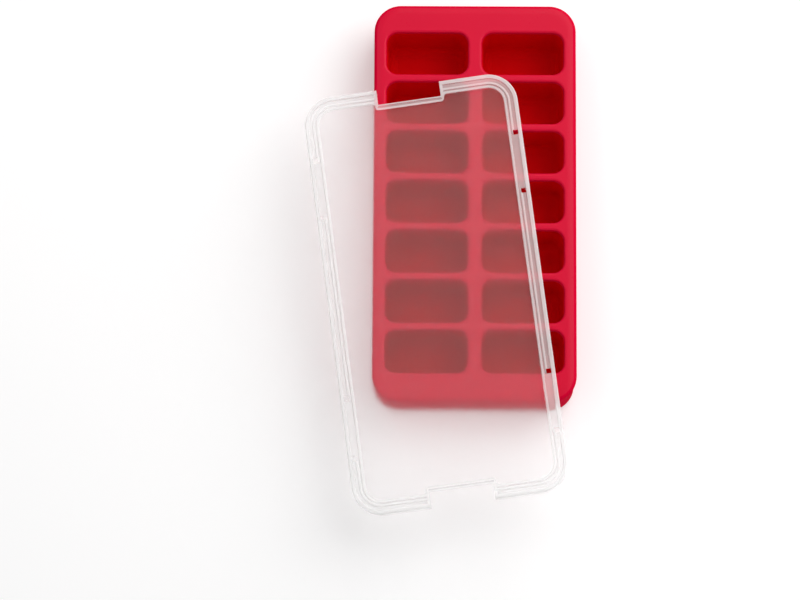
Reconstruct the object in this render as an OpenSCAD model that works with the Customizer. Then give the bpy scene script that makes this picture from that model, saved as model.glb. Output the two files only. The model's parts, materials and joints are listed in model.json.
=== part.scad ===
// Silicone ice cube tray with a translucent lid laid askew on top.
// Millimetres. Origin at the middle of the tray's base, +Z up, +Y along the tray.

/* [Tray] */
// Length of the tray along Y
tray_l = 220; // [215:1:230]
// Width of the tray along X
tray_w = 110; // [108:1:116]
// Height of the deck above the base
tray_h = 32; // [26:1:36]
// Corner radius of the tray seen from above
tray_r = 14.5; // [10:0.5:18]
// Thickness of the flat deck
deck_t = 2.6; // [2:0.1:4]
// Height of the rim bead around the deck
bead_h = 5; // [4:0.5:8]
// How far the bead stands out past the skirt wall
bead_out = 0.6; // [0.3:0.1:1.5]
// Rounding of the bead's top edge
bead_round = 2; // [1:0.1:2.5]
// Thickness of the skirt wall
skirt_t = 2.2; // [1.6:0.1:3]

/* [Pockets] */
// Rows of pockets along the tray
pocket_rows = 7; // [4:1:7]
// Width of a pocket mouth along X
mouth_w = 44.3; // [40:0.1:45]
// Length of a pocket mouth along Y
mouth_l = 23.2; // [20:0.1:23.5]
// Corner radius of a pocket mouth
mouth_r = 6; // [4.5:0.1:8]
// Spacing of the rows
row_pitch = 27.6; // [27:0.1:28]
// Spacing of the two columns
column_pitch = 52; // [51:0.1:53]
// Draft angle of the pocket walls
draft = 3.5; // [2:0.1:5]
// Thickness of a pocket wall
pocket_t = 1.8; // [1.2:0.1:2]
// Thickness of a pocket floor
floor_t = 1.6; // [1.2:0.1:2]
// Height of a floor's underside above the base
floor_up = 0.4; // [0.2:0.1:1]
// Gap between a floor and the wall around it
floor_gap = 0.3; // [0.2:0.05:0.5]

/* [Lid] */
// Length of the lid
lid_l = 229.6; // [226:0.1:236]
// Width of the lid
lid_w = 116.3; // [115:0.1:122]
// Height of the lid from skirt edge to rim top
lid_h = 9; // [8:0.5:12]
// Corner radius of the lid
lid_r = 16; // [14:0.5:20]
// Thickness of the lid's skirt
lid_wall = 1.6; // [1.2:0.1:1.8]
// Thickness of the panel
panel_t = 1.2; // [1:0.1:1.6]
// Depth of the panel below the rim top
panel_drop = 1.6; // [1:0.1:1.6]
// Width of the raised rim
rim_w = 7.5; // [7.2:0.1:9]
// Width of the finger notch in each end
notch_w = 34.4; // [28:0.1:40]
// Depth of the finger notch from the lid's end
notch_d = 8.3; // [6:0.1:9]

/* [Lid tabs] */
// Half the distance between the two tabs of a side
tab_at = 65.8; // [60:0.1:70]
// How far the tabs sit from even, towards the south end
tab_shift = 0.9; // [0:0.1:2]
// Spacing of the two holes at a tab's ends
hole_pitch = 32.3; // [28:0.1:36]
// Size of a hole along the rim
hole_l = 2.6; // [2:0.1:3.5]
// Size of a hole across the rim
hole_w = 2.8; // [2:0.1:2.8]
// How far a hook reaches in from its tab
hook_in = 1.3; // [0.8:0.1:1.6]

/* [Lid at rest] */
// Place of the lid's middle along X
lid_x = -20.7; // [-24:0.1:-17]
// Place of the lid's middle along Y
lid_y = -51.6; // [-56:0.1:-46]
// Height of the lid's middle skirt edge from the deck
lid_z = -1.8; // [-1.8:0.1:4]
// Turn of the lid about Z
lid_yaw = 7.65; // [6:0.05:10]
// Lean of the lid towards the west side
lid_lean = 4.05; // [3.9:0.05:4.05]
// Dip of the lid towards the south end
lid_dip = 1.7; // [1.6:0.05:1.7]

/* [Hidden] */
$fn = 64;
eps = 0.01;
over = 1;

pocket_count = 2 * pocket_rows;

// Tabs: name, side of the lid (1 east, -1 west), end of the lid (1 north, -1 south)
tabs = [
    ["lid_tab_north_east", 1, 1],
    ["lid_tab_north_west", -1, 1],
    ["lid_tab_south_east", 1, -1],
    ["lid_tab_south_west", -1, -1]
];

silicone = "#d7263b";
silicone_deep = "#b01226";
clear_plastic = "#e9e3e3";

// How much a pocket narrows on each side per millimetre of depth
slope = tan(draft);
deck_under = tray_h - deck_t;
bead_under = tray_h - bead_h;
bead_w = bead_out + skirt_t;
floor_top = floor_up + floor_t;
corner_proud = 0.02;

// Lid levels above its skirt edge
panel_top = lid_h - panel_drop;
panel_under = panel_top - panel_t;

// Rim profile, measured inwards from the lid's edge
shoulder_w = 2.2;
shoulder_r = 0.8;
groove_depth = 0.9;
groove_floor = lid_h - groove_depth;
rim_plate_t = 1.2;
rim_under = groove_floor - rim_plate_t;
rib_from = 4.2;
rib_w = 1.1;
rib_drop = 0.25;
ledge_w = 1.3;
ledge_wall = 1.2;

// Finger notch surround
notch_wall = 3;
notch_cheek = 1.6;
notch_groove_w = 0.9;
notch_groove_d = 0.5;

// Tab shape, measured as the rim profile is
hole_in = 3.5;
tab_gap = 0.3;
tab_l = hole_pitch - hole_l;
tab_round = lid_wall / 2 - 0.1;
tab_axis_z = rim_under - tab_gap - tab_round;
tab_foot = 0.3;
hook_low = 1.5;
hook_flat = 0.5;
hook_rise = 0.6;

function pocket_name(stem, k) = str(stem, k < 10 ? "0" : "", k);
function pocket_row(k) = floor((k - 1) / 2);
function pocket_side(k) = k % 2 == 1 ? -1 : 1;
function pocket_x(k) = pocket_side(k) * column_pitch / 2;
function pocket_y(k) = ((pocket_rows - 1) / 2 - pocket_row(k)) * row_pitch;

// Flat rounded rectangle
module rounded_rect(w, l, r) {
    square([w - 2 * r, l], center = true);
    square([w, l - 2 * r], center = true);
    for (sx = [-1, 1], sy = [-1, 1])
        translate([sx * (w / 2 - r), sy * (l / 2 - r)]) circle(r);
}

module rounded_plate(w, l, r, z0, z1) {
    translate([0, 0, z0]) linear_extrude(z1 - z0) rounded_rect(w, l, r);
}

// Sweeps a profile around a rounded rectangle. The profile's x is the distance from the
// outer edge, negative inwards, and its y is the height.
module frame_sweep(w, l, r) {
    for (turn = [0:3]) {
        across = turn % 2 == 0 ? w : l;
        along = turn % 2 == 0 ? l : w;
        rotate([0, 0, 90 * turn]) {
            translate([across / 2, 0, 0])
                rotate([90, 0, 0]) linear_extrude(along - 2 * r, center = true) children();
            translate([across / 2 - r, along / 2 - r, 0])
                rotate_extrude(angle = 90) translate([r, 0]) children();
        }
    }
}

// Tapered block with rounded corners: w, l and r hold at the deck's underside and shrink
// going down. The corners stand a hair proud, so that they cross the flat walls cleanly.
module tapered_block(w, l, r, z0, z1) {
    in0 = (deck_under - z0) * slope;
    in1 = (deck_under - z1) * slope;
    flat_w = w - 2 * r;
    flat_l = l - 2 * r;
    rotate([90, 0, 0]) linear_extrude(flat_l, center = true)
        tapered_side(w / 2 - in0, w / 2 - in1, z0, z1);
    rotate([90, 0, 90]) linear_extrude(flat_w, center = true)
        tapered_side(l / 2 - in0, l / 2 - in1, z0, z1);
    for (sx = [-1, 1], sy = [-1, 1])
        translate([sx * flat_w / 2, sy * flat_l / 2, z0])
            cylinder(h = z1 - z0, r1 = r - in0 + corner_proud, r2 = r - in1 + corner_proud);
}

module tapered_side(half0, half1, z0, z1) {
    polygon([[-half0, z0], [half0, z0], [half1, z1], [-half1, z1]]);
}

module at_pocket(k) {
    translate([pocket_x(k), pocket_y(k), 0]) children();
}

// Round-topped bar that runs around the edge of the deck
module bead_profile() {
    translate([-bead_w, bead_under]) square([bead_w, bead_h - bead_round]);
    translate([-bead_w, bead_under]) square([bead_w - bead_round, bead_h]);
    translate([-bead_round, tray_h - bead_round]) circle(bead_round);
}

module tray_deck() {
    inset = (bead_round + bead_w) / 2;
    color(silicone) difference() {
        union() {
            frame_sweep(tray_w, tray_l, tray_r) bead_profile();
            rounded_plate(tray_w - 2 * inset, tray_l - 2 * inset, tray_r - inset, deck_under, tray_h);
        }
        for (k = [1:pocket_count])
            at_pocket(k) rounded_plate(mouth_w, mouth_l, mouth_r, deck_under - over, tray_h + over);
    }
}

module tray_skirt() {
    outer_w = tray_w - 2 * bead_out;
    outer_l = tray_l - 2 * bead_out;
    color(silicone) frame_sweep(outer_w, outer_l, tray_r - bead_out)
        translate([-skirt_t, 0]) square([skirt_t, bead_under]);
}

module pocket(k) {
    color(silicone_deep) at_pocket(k) difference() {
        tapered_block(mouth_w + 2 * pocket_t, mouth_l + 2 * pocket_t, mouth_r + pocket_t, 0, deck_under);
        tapered_block(mouth_w, mouth_l, mouth_r, -over, deck_under + over);
    }
}

module pocket_floor(k) {
    shrink = 2 * (deck_under - floor_up) * slope + 2 * floor_gap;
    color(silicone_deep) at_pocket(k)
        rounded_plate(mouth_w - shrink, mouth_l - shrink, mouth_r - shrink / 2, floor_up, floor_top);
}

module lid_place() {
    translate([lid_x, lid_y, tray_h + lid_z]) rotate([lid_dip, -lid_lean, lid_yaw]) children();
}

// Skirt, shoulder, two grooves with a rib between them, and the ledge around the panel
module rim_profile() {
    inner = -rim_w;
    ledge = inner + ledge_w;
    rib = -rib_from - rib_w;
    translate([-lid_wall, 0]) square([lid_wall, lid_h - shoulder_r]);
    translate([-shoulder_r, lid_h - shoulder_r]) circle(shoulder_r);
    translate([-shoulder_w, rim_under]) square([shoulder_w - shoulder_r, lid_h - rim_under]);
    translate([inner, rim_under]) square([rim_w - shoulder_r, groove_floor - rim_under]);
    translate([rib, rim_under]) square([rib_w, lid_h - rib_drop - rim_under]);
    translate([inner, rim_under]) square([ledge - inner, lid_h - rim_under]);
    translate([inner, panel_under]) square([ledge_wall, lid_h - panel_under]);
}

// Raised surround of a finger notch at the north end
module notch_surround() {
    half = notch_w / 2 + notch_cheek;
    depth = notch_d + notch_wall;
    translate([-half, lid_l / 2 - depth, panel_under])
        cube([2 * half, depth - shoulder_r, lid_h - panel_under]);
}

module notch_cut() {
    translate([-notch_w / 2, lid_l / 2 - notch_d, -over])
        cube([notch_w, notch_d + over, lid_h + 2 * over]);
    groove_y = lid_l / 2 - notch_d - (notch_wall + notch_groove_w) / 2;
    translate([-notch_w / 2, groove_y, lid_h - notch_groove_d])
        cube([notch_w, notch_groove_w, notch_groove_d + over]);
}

// Room for a tab in the east skirt, its two holes, and the flat channel above it
module tab_cut() {
    half = hole_pitch / 2;
    translate([lid_w / 2 - lid_wall, -half - hole_l / 2, -over])
        cube([lid_wall + over, hole_pitch + hole_l, rim_under + over]);
    for (end = [-1, 1])
        translate([lid_w / 2 - hole_in - hole_w / 2, end * half - hole_l / 2, rim_under - over])
            cube([hole_w, hole_l, lid_h - rim_under + 2 * over]);
    translate([lid_w / 2 - rib_from - rib_w - eps, -tab_l / 2, groove_floor])
        cube([rib_from + rib_w - shoulder_w, tab_l, groove_depth + over]);
}

module at_tab(side, end) {
    mirror([side < 0 ? 1 : 0, 0, 0]) translate([0, end * tab_at - tab_shift, 0]) children();
}

module lid() {
    color(clear_plastic, 0.6) lid_place() difference() {
        union() {
            frame_sweep(lid_w, lid_l, lid_r) rim_profile();
            inset = 2 * (rim_w - ledge_wall);
            rounded_plate(lid_w - inset, lid_l - inset, lid_r - inset / 2, panel_under, panel_top);
            for (turn = [0, 180]) rotate([0, 0, turn]) notch_surround();
        }
        for (turn = [0, 180]) rotate([0, 0, turn]) notch_cut();
        for (t = tabs) at_tab(t[1], t[2]) tab_cut();
    }
}

// Hanging spring tab with a round top and a hook at its foot, drawn in the east skirt
module tab_profile() {
    hook = -lid_wall - hook_in;
    hook_top = hook_low + hook_flat;
    polygon([
        [0, tab_foot],
        [0, tab_axis_z],
        [-lid_wall, tab_axis_z],
        [-lid_wall, hook_top + hook_rise],
        [hook, hook_top],
        [hook, hook_low],
        [-lid_wall, tab_foot]
    ]);
    translate([-lid_wall / 2, tab_axis_z]) circle(tab_round);
}

module lid_tab(side, end) {
    color(clear_plastic, 0.6) lid_place() at_tab(side, end)
        translate([lid_w / 2, 0, 0]) rotate([90, 0, 0])
            linear_extrude(tab_l, center = true) tab_profile();
}

tray_deck();
tray_skirt();
for (k = [1:pocket_count]) {
    pocket(k);
    pocket_floor(k);
}
lid();
for (t = tabs)
    lid_tab(t[1], t[2]);
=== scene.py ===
"""Silicone ice cube tray with a frosted lid laid askew on it: the looks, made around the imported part.

Lengths are metres in the part's own frame, with the origin at the middle of the tray's base, +Z up and
+Y along the tray. Tray, pockets and lid are outlines swept around rounded rectangles, and the lid's tabs
are outlines drawn out straight.
"""

import json
import math

import bmesh
import bpy
from bpy.props import FloatProperty, FloatVectorProperty, PointerProperty
from mathutils import Euler, Matrix, Vector


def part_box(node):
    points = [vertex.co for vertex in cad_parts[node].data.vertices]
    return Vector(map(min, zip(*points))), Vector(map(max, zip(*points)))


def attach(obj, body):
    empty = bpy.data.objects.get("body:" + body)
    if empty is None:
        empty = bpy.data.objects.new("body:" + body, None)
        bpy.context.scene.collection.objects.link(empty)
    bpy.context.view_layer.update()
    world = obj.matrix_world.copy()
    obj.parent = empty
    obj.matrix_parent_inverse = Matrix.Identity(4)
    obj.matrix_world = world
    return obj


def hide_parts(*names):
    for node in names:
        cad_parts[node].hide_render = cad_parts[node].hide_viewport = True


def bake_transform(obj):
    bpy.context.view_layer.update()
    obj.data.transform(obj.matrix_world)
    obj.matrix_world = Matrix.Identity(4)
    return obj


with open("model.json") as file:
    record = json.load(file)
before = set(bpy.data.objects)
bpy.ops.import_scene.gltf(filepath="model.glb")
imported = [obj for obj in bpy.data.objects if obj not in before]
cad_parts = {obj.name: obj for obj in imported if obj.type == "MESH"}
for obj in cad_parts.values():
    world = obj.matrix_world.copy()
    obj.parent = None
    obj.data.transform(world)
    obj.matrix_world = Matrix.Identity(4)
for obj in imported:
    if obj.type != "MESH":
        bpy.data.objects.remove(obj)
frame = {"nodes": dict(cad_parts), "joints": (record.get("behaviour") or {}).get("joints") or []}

bl_info = {
    "name": "Ice Cube Tray",
    "version": (1, 0, 0),
    "blender": (4, 5, 0),
    "location": "View3D > Sidebar > Ice Tray",
    "description": "Makes a silicone ice cube tray with a frosted spring-tab lid",
    "category": "Add Mesh",
}

MM = 0.001
QUARTER = math.pi / 2
WHITE = (1.0, 1.0, 1.0, 1.0)

# Points closer than this are one point
TINY = 1e-6
# Gap that keeps the faces of two carved forms out of one plane
CLEAR = 0.04 * MM
# How far a cutting form reaches past what it cuts, and past the ends of the lid
PAST = 1 * MM
PAST_END = 5 * MM
# Steps around a corner seen from above, and around a small rounding
CORNER_STEPS = 14
ROUND_STEPS = 4
# Folds sharper than this are not shaded smooth
SHARP_ANGLE = math.radians(40)

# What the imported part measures
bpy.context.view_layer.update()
DECK_LOW, DECK_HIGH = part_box("tray_deck")
SKIRT_LOW, SKIRT_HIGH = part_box("tray_skirt")
POCKET_LOW, POCKET_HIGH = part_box("pocket_01")
FLOOR_LOW, FLOOR_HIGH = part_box("pocket_floor_01")
POCKET_NUMBERS = sorted(n[-2:] for n in frame["nodes"] if n.startswith("pocket_floor_"))
TAB_NAMES = sorted(n.removeprefix("lid_tab_") for n in frame["nodes"] if n.startswith("lid_tab_"))
HINGES = {j["child"].removeprefix("lid_tab_"): Vector(j["pos_m"])
          for j in frame["joints"] if j["child"].startswith("lid_tab_")}


# Settings

def length(name, description, default):
    """A size that a user may change."""
    return FloatProperty(name=name, description=description, default=default, precision=5, unit="LENGTH")


def amount(name, description, default, unit="NONE"):
    """A number that a user may change."""
    return FloatProperty(name=name, description=description, default=default, unit=unit)


def position(name, description, default):
    """A place that a user may change."""
    return FloatVectorProperty(name=name, description=description, default=default,
                               subtype="TRANSLATION", size=3)


def colour(name, description, default):
    """A linear colour that a user may change."""
    return FloatVectorProperty(name=name, description=description, default=default,
                               subtype="COLOR", size=3, min=0.0, max=1.0)


class TraySizes(bpy.types.PropertyGroup):
    """Sizes of the tray's deck, bead and skirt."""
    width: length("Width", "Width of the tray along X", DECK_HIGH.x - DECK_LOW.x)
    length: length("Length", "Length of the tray along Y", DECK_HIGH.y - DECK_LOW.y)
    height: length("Height", "Height of the deck above the base", DECK_HIGH.z)
    corner: length("Corner", "Corner radius seen from above", 14.5 * MM)
    deck_under: length("Deck underside", "Height of the deck's underside", POCKET_HIGH.z)
    bead_under: length("Bead underside", "Height of the rim bead's underside", SKIRT_HIGH.z)
    bead_out: length("Bead step", "How far the bead stands out past the skirt", SKIRT_LOW.x - DECK_LOW.x)
    bead_round: length("Bead rounding", "Rounding of the bead's top edge", 1.6 * MM)
    roll: length("Margin", "Width of the deck's margin that rolls down to the bead", 4.2 * MM)
    roll_drop: length("Margin drop", "How far that margin rolls down", 0.6 * MM)
    roll_round: length("Margin rounding", "Rounding where that margin leaves the deck", 0.9 * MM)
    skirt_wall: length("Skirt wall", "Thickness of the skirt", 2.2 * MM)
    foot_round: length("Foot rounding", "Rounding of the skirt's lower edge", 0.8 * MM)
    lip_round: length("Lip rounding", "Rounding of a pocket mouth's edge", 1.2 * MM)


class PocketSizes(bpy.types.PropertyGroup):
    """Sizes of the pockets that hold the ice."""
    wall: length("Wall", "Thickness of a pocket wall", 1.8 * MM)
    corner: length("Corner", "Corner radius of a pocket at the deck's underside", 6 * MM)
    draft: FloatProperty(name="Draft", description="Draft angle of the walls",
                         default=math.radians(3.5), subtype="ANGLE")
    floor_top: length("Floor top", "Height of the floor inside", FLOOR_HIGH.z)
    floor_under: length("Floor underside", "Height of the floor's underside", FLOOR_LOW.z)
    floor_round: length("Floor rounding", "Rounding between wall and floor", 4.2 * MM)
    foot: length("Foot", "Width of the ring that a pocket stands on", 1.5 * MM)
    bend_from: length("Bend from", "Height above which a wall stays with the tray", 26 * MM)
    bend_to: length("Bend to", "Height below which a wall goes with its floor", 5 * MM)


class LidSizes(bpy.types.PropertyGroup):
    """Sizes of the lid, with heights above its skirt edge and insets from its outer edge."""
    width: length("Width", "Width of the lid", 116.3 * MM)
    length: length("Length", "Length of the lid", 229.6 * MM)
    height: length("Height", "Height of the rim's top", 9 * MM)
    corner: length("Corner", "Corner radius seen from above", 16 * MM)
    wall: length("Wall", "Thickness of the skirt", 1.6 * MM)
    panel_top: length("Panel top", "Height of the panel's upper face", 7.4 * MM)
    panel_under: length("Panel underside", "Height of the panel's lower face", 6.2 * MM)
    rim_under: length("Rim underside", "Height of the rim's lower face", 6.9 * MM)
    shoulder: length("Shoulder", "Width of the outer shoulder", 2.2 * MM)
    shoulder_round: length("Shoulder rounding", "Rounding of the outer edge", 0.8 * MM)
    groove: length("Groove", "Height of the floor of the grooves", 8.1 * MM)
    rib_from: length("Rib place", "Inset of the rib between the grooves", 4.2 * MM)
    rib: length("Rib", "Width of the rib", 1.1 * MM)
    rib_top: length("Rib top", "Height of the rib", 8.75 * MM)
    ledge_from: length("Ledge place", "Inset of the ledge around the panel", 6.2 * MM)
    rim: length("Rim", "Width of the whole rim", 7.5 * MM)
    ledge_wall: length("Ledge wall", "Thickness of the wall down to the panel", 1.2 * MM)
    edge_round: length("Edge rounding", "Rounding of the fine edges", 0.22 * MM)
    notch_width: length("Notch width", "Width of the finger notch in each end", 34.4 * MM)
    notch_depth: length("Notch depth", "Depth of the finger notch", 8.3 * MM)
    notch_wall: length("Notch wall", "Width of the wall around a notch", 3 * MM)
    notch_cheek: length("Notch cheek", "Width of the wall's ends beside a notch", 1.6 * MM)
    notch_round: length("Notch rounding", "Rounding of its wall's corners in plan", 1.8 * MM)
    notch_lip: length("Notch lip", "Width of the lip at a notch's edge", 0.7 * MM)
    notch_ridge: length("Notch ridge", "Width of the ridge around a notch's wall", 1.1 * MM)
    hinge: length("Hinge height", "Height of the tabs' hinge axes", 5.9 * MM)
    hole_pitch: length("Hole spacing", "Spacing of the two holes at a tab's ends", 32.3 * MM)
    hole_length: length("Hole length", "Size of a hole along the rim", 2.6 * MM)
    hole_width: length("Hole width", "Size of a hole across the rim", 2.8 * MM)
    hole_in: length("Hole inset", "Inset of a hole's middle", 3.5 * MM)
    tab_shift: length("Tab shift", "How far the tabs sit from even, towards the south end", 0.9 * MM)
    tab_foot: length("Tab foot", "Height of a tab's lower edge", 0.3 * MM)
    web: length("Web", "Thickness of the web that a tab bends in", 0.8 * MM)
    web_under: length("Web underside", "Height where the web widens to the tab", 6.1 * MM)
    tab_shoulder: length("Tab shoulder", "Height where a tab has its full thickness", 5.6 * MM)
    hook: length("Hook", "How far a hook reaches in from its tab", 1.3 * MM)
    hook_low: length("Hook underside", "Height of a hook's lower edge", 1.5 * MM)
    hook_high: length("Hook edge", "Height of a hook's upper edge", 2 * MM)
    hook_top: length("Hook top", "Height where a hook meets its tab", 2.6 * MM)


class Finishes(bpy.types.PropertyGroup):
    """Colours of the silicone, the plastic and the floor."""
    silicone: colour("Silicone", "Colour of the polished silicone", (0.67, 0.002, 0.033))
    # Matt colour: a lighter, less blue copy of the silicone, painted light that lifts the pockets' shade
    silicone_matt: colour("Matt silicone", "Colour of the matt silicone", (0.72, 0.0008, 0.004))
    plastic: colour("Plastic", "Colour of the frosted plastic", (0.985, 0.978, 0.978))
    floor: colour("Floor", "Colour of the studio floor", (0.84, 0.835, 0.835))


class StageSettings(bpy.types.PropertyGroup):
    """Camera and light."""
    lens: amount("Lens", "Focal length of the camera, in millimetres", 180.0, "CAMERA")
    view_turn: FloatVectorProperty(name="View turn", description="Turn from the part to the camera",
                                   default=[math.radians(a) for a in (-11.58, -0.36, -0.27)],
                                   subtype="EULER", size=3)
    view_shift: position("View shift", "Where the camera sees the deck's middle",
                         (40.5 * MM, 53.4 * MM, -2165.6 * MM))
    key_power: amount("Key light", "Power of the large soft key light, in watts", 14.0, "POWER")
    key_place: position("Key place", "Where the key light hangs", (0.64, 0.58, 0.85))
    key_size: length("Key size", "Side of the square key light", 1.4)
    side_power: amount("Side light", "Power of the small light in the west, in watts", 0.4, "POWER")
    side_place: position("Side place", "Where the side light hangs", (-0.42, 0.22, 0.88))
    side_size: length("Side size", "Side of the square side light", 0.35)
    fill: amount("Fill light", "Strength of the even light from all around", 0.50)
    lift: amount("Floor lift", "White added to the floor where it is seen", 0.24)


def settings(group):
    """The current values of one group of settings."""
    return getattr(bpy.context.scene, group)


# Materials

class Wire:
    """One output of a material's nodes. Arithmetic on it adds Math nodes."""

    def __init__(self, tree, output=None):
        self.tree = tree
        self.output = output

    def make(self, kind, values=None, inputs=None, output=0):
        """Adds a node: its own values are set first, then its sockets are set or linked."""
        node = self.tree.nodes.new(kind)
        for name, value in (values or {}).items():
            setattr(node, name, value)
        for name, value in (inputs or {}).items():
            if isinstance(value, Wire):
                self.tree.links.new(value.output, node.inputs[name])
            else:
                node.inputs[name].default_value = value
        return Wire(self.tree, node.outputs[output] if len(node.outputs) else None)

    def math(self, operation, first, second):
        """Adds a Math node."""
        return self.make("ShaderNodeMath", {"operation": operation}, {0: first, 1: second})

    def __add__(self, other):
        return self.math("ADD", self, other)

    def __radd__(self, other):
        return self.math("ADD", other, self)

    def __mul__(self, other):
        return self.math("MULTIPLY", self, other)

    def __rmul__(self, other):
        return self.math("MULTIPLY", other, self)


def new_material(name):
    """An empty node material and the wire that its nodes are made with."""
    material = bpy.data.materials.new(name)
    material.use_nodes = True
    material.node_tree.nodes.clear()
    return material, Wire(material.node_tree)


def noise(wire, place, scale, detail):
    """Noise between 0 and 1 with so many features to the metre."""
    return wire.make("ShaderNodeTexNoise", None, {"Vector": place, "Scale": scale, "Detail": detail})


# Places of the colour sockets among all the sockets of a Mix node
MIX_FIRST = 6
MIX_SECOND = 7
MIX_RESULT = 2


def mix_colours(wire, factor, first, second):
    """Blend of two colours."""
    sockets = {"Factor": factor, MIX_FIRST: (*first, 1.0), MIX_SECOND: (*second, 1.0)}
    return wire.make("ShaderNodeMix", {"data_type": "RGBA"}, sockets, MIX_RESULT)


def silicone(name, tint, matt, gloss):
    """Silicone of a tint that changes slowly, with the fine grain of the mould and so much gloss."""
    material, wire = new_material(name)
    place = wire.make("ShaderNodeTexCoord", output="Object")
    cloud = noise(wire, place, scale=28.0, detail=3.0)
    grain = noise(wire, place, scale=1900.0, detail=2.0)
    speckle = noise(wire, place, scale=420.0, detail=3.0)
    bump = wire.make("ShaderNodeBump", None,
                     {"Strength": 0.12, "Distance": 0.08 * MM, "Height": grain})
    deeper = [0.94 * c for c in tint]
    shader = wire.make("ShaderNodeBsdfPrincipled", None, {
        "Base Color": mix_colours(wire, cloud, tint, deeper),
        "Roughness": matt + 0.12 * speckle,
        "Normal": bump,
        "IOR": 1.41,
        "Specular IOR Level": gloss,
    })
    wire.make("ShaderNodeOutputMaterial", None, {"Surface": shader})
    return material


def satin_silicone():
    """The polished top of the tray."""
    return silicone("satin_silicone", settings("ice_tray_finishes").silicone, matt=0.24, gloss=0.17)


def soft_silicone():
    """The soft sides of the tray."""
    return silicone("soft_silicone", settings("ice_tray_finishes").silicone, matt=0.7, gloss=0.01)


def matt_silicone_painted_lighter():
    """The blasted insides of the pockets, in a painted lighter, less blue red that lifts their shade."""
    return silicone("matt_silicone_painted_lighter", settings("ice_tray_finishes").silicone_matt, matt=0.64, gloss=0.04)


def frosted_plastic(name, clearness, matt, bend):
    """Plastic with a matt skin, which lets so much light through, bends it, and throws the rest back."""
    tints = settings("ice_tray_finishes")
    material, wire = new_material(name)
    place = wire.make("ShaderNodeTexCoord", output="Object")
    haze = noise(wire, place, scale=60.0, detail=4.0)
    milk = [0.98 * c for c in tints.plastic]
    shader = wire.make("ShaderNodeBsdfPrincipled", None, {
        "Base Color": mix_colours(wire, haze, tints.plastic, milk),
        "Roughness": matt + 0.06 * haze,
        "IOR": bend,
        "Transmission Weight": clearness,
    })
    wire.make("ShaderNodeOutputMaterial", None, {"Surface": shader})
    return material


def clear_panel():
    """The lid's thin frosted panel."""
    return frosted_plastic("clear_panel", clearness=0.985, matt=0.26, bend=1.34)


def frosted_skirt():
    """The lid's walls, undersides and tabs."""
    return frosted_plastic("frosted_skirt", clearness=0.9, matt=0.04, bend=1.08)


def hazy_groove():
    """The floors of the rim's grooves."""
    return frosted_plastic("hazy_groove", clearness=0.66, matt=0.04, bend=1.08)


def milky_highlight_ridge():
    """The rim's ridge tops: thick, milky plastic, made less clear still as a painted highlight."""
    return frosted_plastic("milky_highlight_ridge", clearness=0.44, matt=0.04, bend=1.2)


def background_seen(wire):
    """1 for rays that show the background, also in gloss or through plastic, and 0 for others."""
    seen = wire.make("ShaderNodeLightPath", output="Is Camera Ray")
    for other in ("Is Glossy Ray", "Is Transmission Ray"):
        seen = wire.math("MAXIMUM", seen, wire.make("ShaderNodeLightPath", output=other))
    return seen


def studio_floor():
    """Matt white floor, lifted towards white where it is seen, with its shadows kept."""
    stage = settings("ice_tray_stage")
    material, wire = new_material("studio_floor")
    tint = settings("ice_tray_finishes").floor
    matt = wire.make("ShaderNodeBsdfDiffuse", None, {"Color": (*tint, 1.0)})
    glow = wire.make("ShaderNodeEmission", None,
                     {"Color": WHITE, "Strength": stage.lift * background_seen(wire)})
    both = wire.make("ShaderNodeAddShader", None, {0: matt, 1: glow})
    wire.make("ShaderNodeOutputMaterial", None, {"Surface": both})
    return material


# Mesh making

def round_corners(bm, verts, roundings):
    """Rounds the corners of a flat face, each by its own radius, and leaves those of radius 0."""
    for vert, rounding in zip(verts, roundings):
        if rounding:
            bmesh.ops.bevel(bm, geom=[vert], offset=rounding, segments=ROUND_STEPS, profile=0.5,
                            affect="VERTICES", material=-1)


def rounded_outline(corners):
    """Points of an open outline, whose corners are (inset, height, rounding)."""
    bm = bmesh.new()
    verts = [bm.verts.new((inset, 0.0, height)) for inset, height, rounding in corners]
    bm.faces.new(verts)
    round_corners(bm, verts, [rounding for inset, height, rounding in corners])
    last = verts[-1]
    bmesh.ops.delete(bm, geom=[bm.edges.get((verts[0], last))], context="EDGES")
    chain = [verts[0]]
    edge = verts[0].link_edges[0]
    while chain[-1] is not last:
        chain.append(edge.other_vert(chain[-1]))
        edge = next((e for e in chain[-1].link_edges if e is not edge), None)
    points = [(v.co.x, v.co.z) for v in chain]
    bm.free()
    return points


def sweep_around(bm, points, width, length, corner):
    """Carries (inset, height) points around a rounded rectangle, and returns the new vertices."""
    known = set(bm.verts)
    verts = [bm.verts.new((width / 2 - inset, corner - length / 2, height)) for inset, height in points]
    edges = [bm.edges.new(pair) for pair in zip(verts, verts[1:])]
    for turn in range(4):
        across, along = ((width, length), (length, width))[turn % 2]
        facing = Matrix.Rotation(turn * QUARTER, 3, "Z")
        verts, edges = parts_of(bmesh.ops.extrude_edge_only(bm, edges=edges)["geom"])
        bmesh.ops.translate(bm, vec=facing @ Vector((0, along - 2 * corner, 0)), verts=verts)
        pivot = facing @ Vector((across / 2 - corner, along / 2 - corner, 0))
        spun = bmesh.ops.spin(bm, geom=verts + edges, cent=pivot, axis=(0, 0, 1), dvec=(0, 0, 0),
                              angle=QUARTER, steps=CORNER_STEPS, use_merge=False)
        verts, edges = parts_of(spun["geom_last"])
    swept = [v for v in bm.verts if v not in known]
    bmesh.ops.remove_doubles(bm, verts=swept, dist=TINY)
    return [v for v in swept if v.is_valid]


def parts_of(geometry):
    """The vertices, and the edges between them, of an operator's result."""
    verts = [g for g in geometry if isinstance(g, bmesh.types.BMVert)]
    edges = [g for g in geometry if isinstance(g, bmesh.types.BMEdge)]
    return verts, edges


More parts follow.
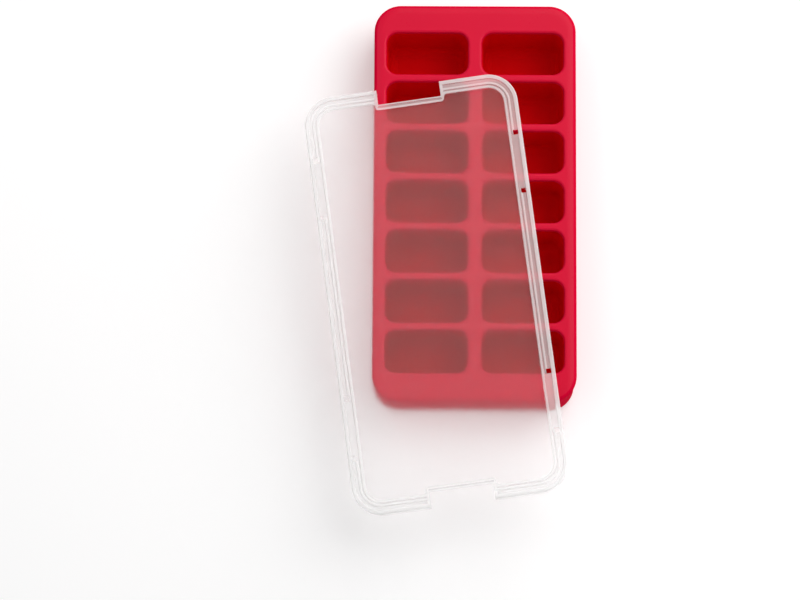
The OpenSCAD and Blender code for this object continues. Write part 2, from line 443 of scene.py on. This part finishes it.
def fill_level(bm, height):
    """Fills the flat region between all the open rings at one height, and drops empty faces."""
    ring = [e for e in bm.edges if e.is_boundary and all(abs(v.co.z - height) < TINY for v in e.verts)]
    bmesh.ops.triangle_fill(bm, edges=ring, use_beauty=True, normal=(0, 0, 1))
    empty = [f for f in bm.faces if f.calc_area() < TINY * MM]
    bmesh.ops.delete(bm, geom=empty, context="FACES")


def add_box(bm, low, high, rounding=0.0):
    """Adds a box between two corners, with its upright edges rounded."""
    made = bmesh.ops.create_cube(bm, size=1.0)
    verts = made["verts"]
    low, high = Vector(low), Vector(high)
    bmesh.ops.scale(bm, vec=high - low, verts=verts)
    bmesh.ops.translate(bm, vec=(low + high) / 2, verts=verts)
    if rounding:
        upright = [e for e in edges_at(verts) if abs(e.verts[0].co.z - e.verts[1].co.z) > TINY]
        bmesh.ops.bevel(bm, geom=upright, offset=rounding, segments=ROUND_STEPS, profile=0.5,
                        affect="EDGES", material=-1)


def edges_at(verts):
    """Every edge at these vertices, once."""
    return list(dict.fromkeys(e for v in verts for e in v.link_edges))


def new_piece(name, bm, material=None):
    """Turns a finished bmesh into an object at the origin."""
    bmesh.ops.recalc_face_normals(bm, faces=bm.faces)
    mesh = bpy.data.meshes.new(name)
    bm.to_mesh(mesh)
    bm.free()
    piece = bpy.data.objects.new(name, mesh)
    bpy.context.scene.collection.objects.link(piece)
    if material:
        mesh.materials.append(material)
    return piece


def shade(piece):
    """Smooth shading that stays flat on the flats and sharp at the cut edges."""
    piece.data.shade_smooth()
    piece.data.set_sharp_from_angle(angle=SHARP_ANGLE)
    even = piece.modifiers.new("even_shading", "WEIGHTED_NORMAL")
    even.mode = "FACE_AREA_WITH_ANGLE"
    even.weight = 100
    even.keep_sharp = True


def carve(piece, tool_bm, operation):
    """Joins or takes away the closed forms of a bmesh."""
    tool = new_piece("carving_tool", tool_bm)
    change = piece.modifiers.new("carve", "BOOLEAN")
    change.operation = operation
    change.solver = "EXACT"
    change.object = tool
    carved = bpy.data.meshes.new_from_object(piece.evaluated_get(bpy.context.evaluated_depsgraph_get()))
    piece.modifiers.clear()
    plain = piece.data
    piece.data = carved
    bpy.data.meshes.remove(plain)
    bpy.data.meshes.remove(tool.data)


def finish_faces(piece, material, fits):
    """Gives a finish to the faces that fit, by their corners' heights and how far they look up."""
    piece.data.materials.append(material)
    for polygon in piece.data.polygons:
        heights = [piece.data.vertices[v].co.z for v in polygon.vertices]
        if fits(heights, polygon.normal.z):
            polygon.material_index = len(piece.data.materials) - 1


def finish_from(maker):
    """The material that a function makes under its own name, made the first time it is asked for."""
    return bpy.data.materials.get(maker.__name__) or maker()


# The tray

# Roundings of the bead's lower edge, between bead and skirt, and between skirt and deck inside
BEAD_EDGE = 0.4 * MM
BEAD_FILLET = 0.15 * MM
SKIRT_FILLET = 1.5 * MM
# Roundings of a pocket's foot outside and inside, and of the step up to its floor
FOOT_OUTSIDE = 0.7 * MM
FOOT_INSIDE = 0.3 * MM
FLOOR_FILLET = 0.1 * MM
# How far that step leans in
STEP_LEAN = 0.2 * MM
# Width of the flat strip where the tray's outline ends under the deck
UNDER_STRIP = 2 * MM
# How far an outline starts from its first corner, on the deck and on a floor, in roundings of that corner
DECK_STRIP = 1.1
FLOOR_STRIP = 1.01
# Walls taller than this are cut into bands, by so many cuts
TALL_WALL = 20 * MM
WALL_CUTS = 11
# Place of the soft finish among the tray's materials
SOFT_SLOT = 1


def mouth_size():
    """Width and length of a pocket mouth at the deck's underside."""
    wall = settings("ice_tray_pocket").wall
    size = POCKET_HIGH - POCKET_LOW
    return size.x - 2 * wall, size.y - 2 * wall


def pocket_centre(number):
    """Middle of a pocket on the base plane."""
    low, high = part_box("pocket_" + number)
    middle = (low + high) / 2
    return Vector((middle.x, middle.y, 0))


def tray_outline(tray):
    """From the deck over its margin and bead, down the skirt, and up inside to the deck's underside."""
    inside = tray.bead_out + tray.skirt_wall
    return rounded_outline([
        (tray.roll + DECK_STRIP * tray.roll_round, tray.height, 0),
        (tray.roll, tray.height, tray.roll_round),
        (0, tray.height - tray.roll_drop, tray.bead_round),
        (0, tray.bead_under, BEAD_EDGE),
        (tray.bead_out, tray.bead_under, BEAD_FILLET),
        (tray.bead_out, 0, tray.foot_round),
        (inside, 0, tray.foot_round),
        (inside, tray.deck_under, SKIRT_FILLET),
        (inside + UNDER_STRIP, tray.deck_under, 0),
    ])


def mouth_outline(tray, slope):
    """From the deck, over the rounded lip and down to the deck's underside."""
    lean = slope * (tray.height - tray.deck_under)
    return rounded_outline([
        (-lean - DECK_STRIP * tray.lip_round, tray.height, 0),
        (-lean, tray.height, tray.lip_round),
        (0, tray.deck_under, 0),
    ])


class ICE_TRAY_OT_tray_moulding(bpy.types.Operator):
    """Makes the deck with its pocket mouths, the bead and the skirt"""
    bl_idname = "ice_tray.tray_moulding"
    bl_label = "Tray Moulding"

    def execute(self, context):
        tray = settings("ice_tray_tray")
        pocket = settings("ice_tray_pocket")
        bm = bmesh.new()
        sweep_around(bm, tray_outline(tray), tray.width, tray.length, tray.corner)
        soft_below = tray.height - tray.roll_drop / 2
        for face in bm.faces:
            if max(v.co.z for v in face.verts) < soft_below:
                face.material_index = SOFT_SLOT
        lip = mouth_outline(tray, math.tan(pocket.draft))
        for number in POCKET_NUMBERS:
            mouth = sweep_around(bm, lip, *mouth_size(), pocket.corner)
            bmesh.ops.translate(bm, vec=pocket_centre(number), verts=mouth)
        fill_level(bm, tray.height)
        fill_level(bm, tray.deck_under)
        piece = new_piece("tray_moulding", bm, finish_from(satin_silicone))
        piece.data.materials.append(finish_from(soft_silicone))
        shade(piece)
        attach(piece, "tray")
        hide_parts("tray_deck", "tray_skirt")
        return {"FINISHED"}


def pocket_outline(tray, pocket):
    """From the floor up the wall's inside, and down its outside to the foot and the floor's underside."""
    slope = math.tan(pocket.draft)
    floor_in = slope * (tray.deck_under - pocket.floor_top)
    foot_in = slope * tray.deck_under - pocket.wall
    inner = floor_in + FLOOR_STRIP * pocket.floor_round
    return rounded_outline([
        (inner, pocket.floor_top, 0),
        (floor_in, pocket.floor_top, pocket.floor_round),
        (0, tray.deck_under, 0),
        (-pocket.wall, tray.deck_under, 0),
        (foot_in, 0, FOOT_OUTSIDE),
        (foot_in + pocket.foot, 0, FOOT_INSIDE),
        (foot_in + pocket.foot + STEP_LEAN, pocket.floor_under, FLOOR_FILLET),
        (inner, pocket.floor_under, 0),
    ])


def split_walls(bm):
    """Cuts the tall walls into short bands."""
    tall = [e for e in bm.edges if abs(e.verts[0].co.z - e.verts[1].co.z) > TALL_WALL]
    bmesh.ops.subdivide_edges(bm, edges=tall, cuts=WALL_CUTS, use_grid_fill=True)


class ICE_TRAY_OT_pocket_wells(bpy.types.Operator):
    """Makes the pockets, whose floors push up to free the ice"""
    bl_idname = "ice_tray.pocket_wells"
    bl_label = "Pocket Wells"

    def execute(self, context):
        tray = settings("ice_tray_tray")
        pocket = settings("ice_tray_pocket")
        outline = pocket_outline(tray, pocket)
        for number in POCKET_NUMBERS:
            bm = bmesh.new()
            sweep_around(bm, outline, *mouth_size(), pocket.corner)
            fill_level(bm, pocket.floor_top)
            fill_level(bm, pocket.floor_under)
            split_walls(bm)
            centre = pocket_centre(number)
            bmesh.ops.translate(bm, vec=centre, verts=bm.verts)
            # The wells get the matt silicone, painted lighter to lift the shade inside the pockets
            piece = new_piece("pocket_well_" + number, bm, finish_from(matt_silicone_painted_lighter))
            shade(piece)
            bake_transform(piece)
            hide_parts("pocket_" + number, "pocket_floor_" + number)
        return {"FINISHED"}


# The lid

# Width of the flat strip beside the rim at both faces of the panel
PANEL_STRIP = 1 * MM
# Roundings of the corners, seen from above, of a notch, of the groove in its wall and of a hole
NOTCH_CORNER = 0.6 * MM
GROOVE_CORNER = 0.5 * MM
HOLE_CORNER = 0.4 * MM
# Room behind a tab, and beside the channel over it, in roundings of the fine edges
TAB_ROOM = 3
CHANNEL_ROOM = 1.3
# How far that channel runs into the holes at a tab's ends
CHANNEL_PAST = 0.2 * MM
# Faces whose normals rise more than this look up
LOOKS_UP = 0.5


def lid_place(lid):
    """Matrix from the lid's own frame to the part's, found from the four hinges of its tabs."""
    across = HINGES["north_east"] + HINGES["south_east"] - HINGES["north_west"] - HINGES["south_west"]
    along = HINGES["north_east"] + HINGES["north_west"] - HINGES["south_east"] - HINGES["south_west"]
    east = across.normalized()
    north = along.normalized()
    up = east.cross(north)
    turn = Matrix((east, north, up)).transposed()
    middle = sum(HINGES.values(), Vector()) / len(HINGES)
    return Matrix.Translation(middle + lid.tab_shift * north - lid.hinge * up) @ turn.to_4x4()


def tab_middle(lid, end):
    """Place of the tabs at one end of the lid, 1 north or -1 south, along its length."""
    return end * (HINGES["north_east"] - HINGES["south_east"]).length / 2 - lid.tab_shift


def lid_outline(lid):
    """From the panel, over the ledge, the grooved rim and the skirt, and back under to the panel."""
    fine = lid.edge_round
    soft = 1.5 * fine
    fillet = 2 * fine
    rib_end = lid.rib_from + lid.rib
    panel_in = lid.rim + PANEL_STRIP
    ledge_back = lid.rim - lid.ledge_wall
    return rounded_outline([
        (panel_in, lid.panel_top, 0),
        (lid.rim, lid.panel_top, soft),
        (lid.rim, lid.height, soft),
        (lid.ledge_from, lid.height, fine),
        (lid.ledge_from, lid.groove, fine),
        (rib_end, lid.groove, fine),
        (rib_end, lid.rib_top, fine),
        (lid.rib_from, lid.rib_top, fine),
        (lid.rib_from, lid.groove, fine),
        (lid.shoulder, lid.groove, fine),
        (lid.shoulder, lid.height, fine),
        (0, lid.height, lid.shoulder_round),
        (0, 0, fine),
        (lid.wall, 0, fine),
        (lid.wall, lid.rim_under, fillet),
        (ledge_back, lid.rim_under, fine),
        (ledge_back, lid.panel_under, fine),
        (panel_in, lid.panel_under, 0),
    ])


def notch_surrounds(lid):
    """The raised walls around the two finger notches, which flow into the rim's ledge."""
    bm = bmesh.new()
    half = lid.notch_width / 2 + lid.notch_cheek
    flare = half + 2 * lid.notch_round
    back = lid.length / 2 - lid.notch_depth - lid.notch_wall
    ledge = lid.length / 2 - lid.rim + CLEAR
    inside = ledge + 0.5 * lid.ledge_wall
    front = lid.length / 2 - lid.shoulder_round
    right = [(half, front, 0), (half, inside, 0), (flare, inside, 0), (flare, ledge, 0),
             (half, ledge, lid.notch_round), (half, back, lid.notch_round)]
    left = [(-x, y, rounding) for x, y, rounding in reversed(right)]
    corners = right + left
    base = lid.panel_under + CLEAR
    for end in (-1, 1):
        verts = [bm.verts.new((end * x, end * y, base)) for x, y, rounding in corners]
        bm.faces.new(verts)
        round_corners(bm, verts, [rounding for x, y, rounding in corners])
    drawn = bmesh.ops.extrude_face_region(bm, geom=bm.faces[:])["geom"]
    rise = lid.height - lid.panel_under - 2 * CLEAR
    bmesh.ops.translate(bm, vec=(0, 0, rise), verts=parts_of(drawn)[0])
    return bm


def notch_cuts(lid):
    """What the finger notches, the room for the tabs and the channels over them take away."""
    bm = bmesh.new()
    top = lid.height + PAST
    side_edge = lid.width / 2
    end_edge = lid.length / 2
    notch = lid.notch_width / 2
    slot = (lid.hole_pitch + lid.hole_length) / 2 + CLEAR
    slot_in = side_edge - lid.wall - TAB_ROOM * lid.edge_round
    channel = (lid.hole_pitch - lid.hole_length) / 2 + CHANNEL_PAST
    channel_in = side_edge - lid.rib_from - lid.rib - CHANNEL_ROOM * lid.edge_round
    channel_out = side_edge - lid.shoulder - CHANNEL_ROOM * lid.edge_round
    for end in (-1, 1):
        low_y, high_y = sorted((end * (end_edge - lid.notch_depth), end * (end_edge + PAST_END)))
        add_box(bm, (-notch, low_y, -PAST), (notch, high_y, top), NOTCH_CORNER)
        middle = tab_middle(lid, end)
        for side in (-1, 1):
            low_x, high_x = sorted((side * slot_in, side * (side_edge + PAST)))
            add_box(bm, (low_x, middle - slot, -PAST), (high_x, middle + slot, lid.rim_under - CLEAR))
            low_x, high_x = sorted((side * channel_in, side * channel_out))
            add_box(bm, (low_x, middle - channel, lid.groove - CLEAR), (high_x, middle + channel, top))
    return bm


def fine_cuts(lid):
    """What the grooves in the notch walls and the holes beside the tabs take away."""
    bm = bmesh.new()
    top = lid.height + PAST
    mouth = lid.length / 2 - lid.notch_depth
    groove_back = mouth - lid.notch_wall + lid.notch_ridge
    groove = lid.notch_width / 2 + lid.notch_cheek - lid.notch_ridge
    hole_half = Vector((lid.hole_width / 2, lid.hole_length / 2, 0))
    for end in (-1, 1):
        low_y, high_y = sorted((end * groove_back, end * (mouth - lid.notch_lip)))
        add_box(bm, (-groove, low_y, lid.groove), (groove, high_y, top), GROOVE_CORNER)
        for side in (-1, 1):
            for hole in (-1, 1):
                x = side * (lid.width / 2 - lid.hole_in)
                y = tab_middle(lid, end) + hole * lid.hole_pitch / 2
                add_box(bm, Vector((x, y, lid.rim_under - PAST)) - hole_half,
                        Vector((x, y, top)) + hole_half, HOLE_CORNER)
    return bm


def finish_lid(piece, lid):
    """Clear panel, hazy grooves, and milky ridges that are partly whitened as a painted highlight."""
    ridge_low = lid.rib_top - lid.edge_round - CLEAR
    groove_low = lid.groove - 2 * CLEAR
    finish_faces(piece, finish_from(clear_panel),
                 lambda heights, up: any(max(heights) - level < TINY and level - min(heights) < TINY
                                         for level in (lid.panel_top, lid.panel_under)))
    finish_faces(piece, finish_from(hazy_groove),
                 lambda heights, up: up > LOOKS_UP and groove_low < min(heights) < ridge_low)
    # Ridge tops get the milky finish, which also stands in as a painted highlight
    finish_faces(piece, finish_from(milky_highlight_ridge),
                 lambda heights, up: min(heights) > ridge_low)


class ICE_TRAY_OT_lid_cover(bpy.types.Operator):
    """Makes the frosted lid with its grooved rim, finger notches and holes"""
    bl_idname = "ice_tray.lid_cover"
    bl_label = "Lid Cover"

    def execute(self, context):
        lid = settings("ice_tray_lid")
        bm = bmesh.new()
        sweep_around(bm, lid_outline(lid), lid.width, lid.length, lid.corner)
        fill_level(bm, lid.panel_top)
        fill_level(bm, lid.panel_under)
        piece = new_piece("lid_cover", bm, finish_from(frosted_skirt))
        carve(piece, notch_surrounds(lid), "UNION")
        carve(piece, notch_cuts(lid), "DIFFERENCE")
        carve(piece, fine_cuts(lid), "DIFFERENCE")
        finish_lid(piece, lid)
        piece.data.transform(lid_place(lid))
        shade(piece)
        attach(piece, "lid")
        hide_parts("lid")
        return {"FINISHED"}


def tab_outline(lid):
    """A tab seen from its end: web, body and hook."""
    fine = lid.edge_round
    web_out = (lid.wall - lid.web) / 2
    web_in = lid.wall - web_out
    return rounded_outline([
        (web_out, lid.rim_under, 0),
        (web_out, lid.web_under, fine),
        (0, lid.tab_shoulder, fine),
        (0, lid.tab_foot, fine),
        (lid.wall, lid.tab_foot, fine),
        (lid.wall + lid.hook, lid.hook_low, fine),
        (lid.wall + lid.hook, lid.hook_high, fine),
        (lid.wall, lid.hook_top, fine),
        (lid.wall, lid.tab_shoulder, fine),
        (web_in, lid.web_under, fine),
        (web_in, lid.rim_under, 0),
    ])


class ICE_TRAY_OT_spring_tabs(bpy.types.Operator):
    """Makes the four tabs that hook under the tray's bead"""
    bl_idname = "ice_tray.spring_tabs"
    bl_label = "Spring Tabs"

    def execute(self, context):
        lid = settings("ice_tray_lid")
        place = lid_place(lid)
        tab_length = lid.hole_pitch - lid.hole_length
        points = tab_outline(lid)
        for name in TAB_NAMES:
            side = 1 if name.endswith("east") else -1
            end = 1 if name.startswith("north") else -1
            middle = tab_middle(lid, end)
            bm = bmesh.new()
            verts = [bm.verts.new((side * (lid.width / 2 - inset), middle - tab_length / 2, height))
                     for inset, height in points]
            face = bm.faces.new(verts)
            drawn = bmesh.ops.extrude_face_region(bm, geom=[face])["geom"]
            bmesh.ops.translate(bm, vec=(0, tab_length, 0), verts=parts_of(drawn)[0])
            bmesh.ops.transform(bm, matrix=place, verts=bm.verts)
            piece = new_piece("spring_tab_" + name, bm, finish_from(frosted_skirt))
            shade(piece)
            hinge_line = Vector((side * (lid.width - lid.wall) / 2, middle, 0))
            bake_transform(piece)
            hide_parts("lid_tab_" + name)
        return {"FINISHED"}


# The stage

# Half the side of the floor, and its gap to the tray's foot
FLOOR_REACH = 4.0
FLOOR_GAP = 0.05 * MM
# The camera's sensor, in millimetres, and how far the camera sees
SENSOR_WIDTH = 36.0
FAR_CLIP = 20.0


def add_floor():
    """A wide floor just under the tray."""
    bm = bmesh.new()
    bmesh.ops.create_grid(bm, x_segments=1, y_segments=1, size=FLOOR_REACH)
    bmesh.ops.translate(bm, vec=(0, 0, -FLOOR_GAP), verts=bm.verts)
    floor = new_piece("studio_floor", bm, finish_from(studio_floor))


def add_light(name, power, size, place):
    """A soft square light, aimed at the tray."""
    light = bpy.data.lights.new(name, "AREA")
    light.energy = power
    light.size = size
    lamp = bpy.data.objects.new(name, light)
    place = Vector(place)
    lamp.location = place
    lamp.rotation_euler = (-place).to_track_quat("-Z", "Y").to_euler()
    bpy.context.scene.collection.objects.link(lamp)


def add_camera(stage, deck_height):
    """The camera, placed by how it sees the middle of the deck."""
    lens = bpy.data.cameras.new("camera")
    lens.lens = stage.lens
    lens.sensor_width = SENSOR_WIDTH
    lens.clip_end = FAR_CLIP
    camera = bpy.data.objects.new("camera", lens)
    back = Euler(stage.view_turn).to_matrix().transposed()
    place = Vector((0, 0, deck_height)) - back @ Vector(stage.view_shift)
    camera.matrix_world = Matrix.Translation(place) @ back.to_4x4()
    bpy.context.scene.collection.objects.link(camera)
    bpy.context.scene.camera = camera


def add_world(stage):
    """Even light from all around, which is white where it is seen."""
    world = bpy.data.worlds.new("studio")
    world.use_nodes = True
    world.node_tree.nodes.clear()
    wire = Wire(world.node_tree)
    strength = stage.fill + (1.0 - stage.fill) * background_seen(wire)
    sky = wire.make("ShaderNodeBackground", None, {"Color": WHITE, "Strength": strength})
    wire.make("ShaderNodeOutputWorld", None, {"Surface": sky})
    bpy.context.scene.world = world


class ICE_TRAY_OT_stage(bpy.types.Operator):
    """Adds the floor, the lights and the camera"""
    bl_idname = "ice_tray.stage"
    bl_label = "Stage"

    def execute(self, context):
        stage = settings("ice_tray_stage")
        add_floor()
        add_light("key_light", stage.key_power, stage.key_size, stage.key_place)
        add_light("side_light", stage.side_power, stage.side_size, stage.side_place)
        add_world(stage)
        add_camera(stage, settings("ice_tray_tray").height)
        context.scene.view_settings.view_transform = "Standard"
        return {"FINISHED"}


class ICE_TRAY_PT_panel(bpy.types.Panel):
    """Lists the pieces and their settings"""
    bl_idname = "ICE_TRAY_PT_panel"
    bl_label = "Ice Cube Tray"
    bl_space_type = "VIEW_3D"
    bl_region_type = "UI"
    bl_category = "Ice Tray"

    def draw(self, context):
        for operator in OPERATORS:
            self.layout.operator(operator.bl_idname)
        for group in GROUPS:
            values = settings(group)
            box = self.layout.box()
            for name in values.__annotations__:
                box.prop(values, name)


GROUPS = {
    "ice_tray_tray": TraySizes,
    "ice_tray_pocket": PocketSizes,
    "ice_tray_lid": LidSizes,
    "ice_tray_finishes": Finishes,
    "ice_tray_stage": StageSettings,
}
OPERATORS = (
    ICE_TRAY_OT_tray_moulding,
    ICE_TRAY_OT_pocket_wells,
    ICE_TRAY_OT_lid_cover,
    ICE_TRAY_OT_spring_tabs,
    ICE_TRAY_OT_stage,
)
CLASSES = (*GROUPS.values(), *OPERATORS, ICE_TRAY_PT_panel)


def register():
    """Adds the settings, the operators and the panel."""
    for cls in CLASSES:
        bpy.utils.register_class(cls)
    for name, group in GROUPS.items():
        setattr(bpy.types.Scene, name, PointerProperty(type=group))


def unregister():
    """Removes the settings, the operators and the panel."""
    for name in GROUPS:
        delattr(bpy.types.Scene, name)
    for cls in reversed(CLASSES):
        bpy.utils.unregister_class(cls)


def main():
    """Makes the tray, the lid and the stage."""
    register()
    bpy.ops.ice_tray.tray_moulding()
    bpy.ops.ice_tray.pocket_wells()
    bpy.ops.ice_tray.lid_cover()
    bpy.ops.ice_tray.spring_tabs()
    bpy.ops.ice_tray.stage()


if __name__ == "__main__":
    main()
